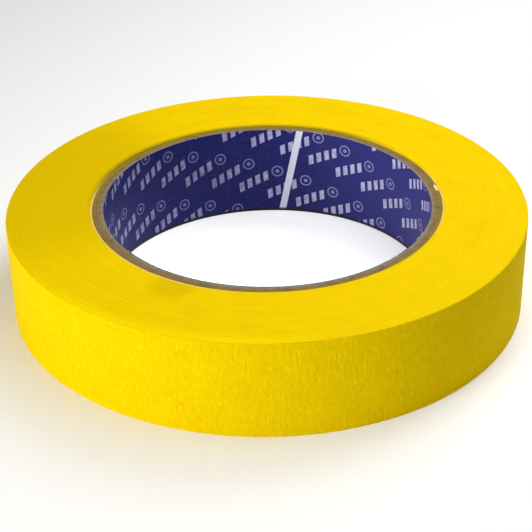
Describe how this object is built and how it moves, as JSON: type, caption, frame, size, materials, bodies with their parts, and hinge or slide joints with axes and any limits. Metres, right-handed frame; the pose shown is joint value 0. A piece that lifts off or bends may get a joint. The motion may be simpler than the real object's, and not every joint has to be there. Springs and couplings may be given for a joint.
{
  "type": "masking tape roll",
  "caption": "Roll of yellow crepe masking tape on a paperboard core with a printed dark blue liner, with a free end that peels open.",
  "frame": {"origin": "centre of the bore, at the plane of the face that the roll lies on", "axes": "+Z along the bore, upwards; +X and +Y across the roll, with the free end on the +Y side"},
  "size_m": [0.122, 0.122, 0.0234],
  "materials": {
    "tape": "matte crepe",
    "tape_start": "matte crepe",
    "board_brown": "matte",
    "board_tan": "matte",
    "board_grey": "matte",
    "liner": "satin print"
  },
  "bodies": {
    "roll": {"wound_tape": "tape", "outer_lap": "tape", "start_lap": "tape_start", "core_outer_ply": "board_brown", "core_middle_ply": "board_tan", "core_inner_ply": "board_grey", "core_liner": "liner"},
    "free_end": {"free_end": "tape"}
  },
  "joints": [
    {"name": "free_end_peel", "type": "hinge", "parent": "roll", "child": "free_end", "pos_m": [-0.0119, 0.05983, 0.0117], "axis": [0, 0, 1], "range_deg": [0, 150]}
  ]
}
